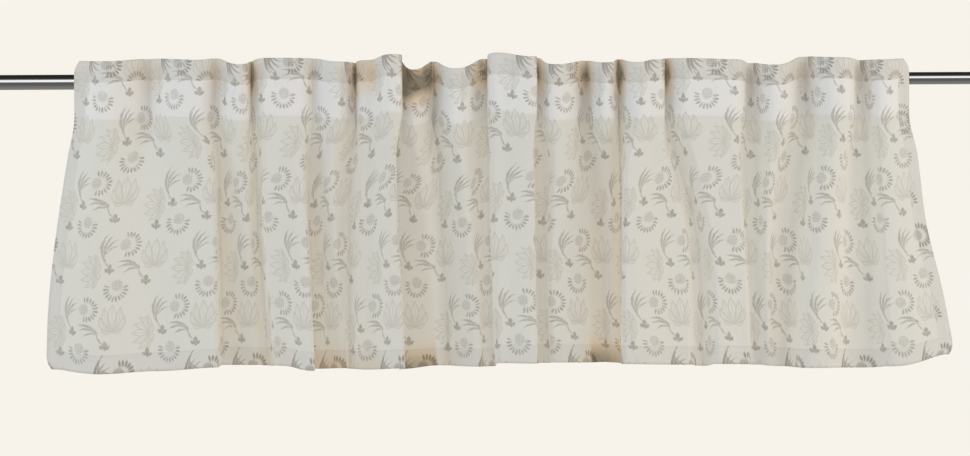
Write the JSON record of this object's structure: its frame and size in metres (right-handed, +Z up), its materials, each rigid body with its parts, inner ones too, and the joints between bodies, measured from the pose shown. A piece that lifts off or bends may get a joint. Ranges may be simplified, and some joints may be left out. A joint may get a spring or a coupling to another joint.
{
  "type": "window valance on a curtain rod",
  "caption": "Gathered semi-sheer window valance with a tone-on-tone flower and leaf print, hung by back loops on a bright telescopic curtain rod.",
  "frame": {"origin": "on the rod's axis, midway along the rod, where its brackets' support is taken to act", "axes": "+X along the rod to the viewer's right, +Z up, and the cloth hangs on the -Y side, which faces the room"},
  "size_m": [1.68, 0.1349, 0.508],
  "materials": {
    "printed_cloth": "soft, semi-sheer plain weave with a grey-taupe print on warm white",
    "white_tape": "plain white woven tape",
    "bright_metal": "bright polished metal"
  },
  "bodies": {
    "root": {"panel": "printed_cloth", "heading_tape": "white_tape", "back_loop_01": "white_tape", "back_loop_02": "white_tape", "back_loop_03": "white_tape", "back_loop_04": "white_tape", "back_loop_05": "white_tape", "back_loop_06": "white_tape", "back_loop_07": "white_tape", "back_loop_08": "white_tape", "back_loop_09": "white_tape", "back_loop_10": "white_tape", "back_loop_11": "white_tape", "back_loop_12": "white_tape", "back_loop_13": "white_tape", "rod_outer_tube": "bright_metal", "rod_inner_tube": "bright_metal"}
  },
  "joints": []
}
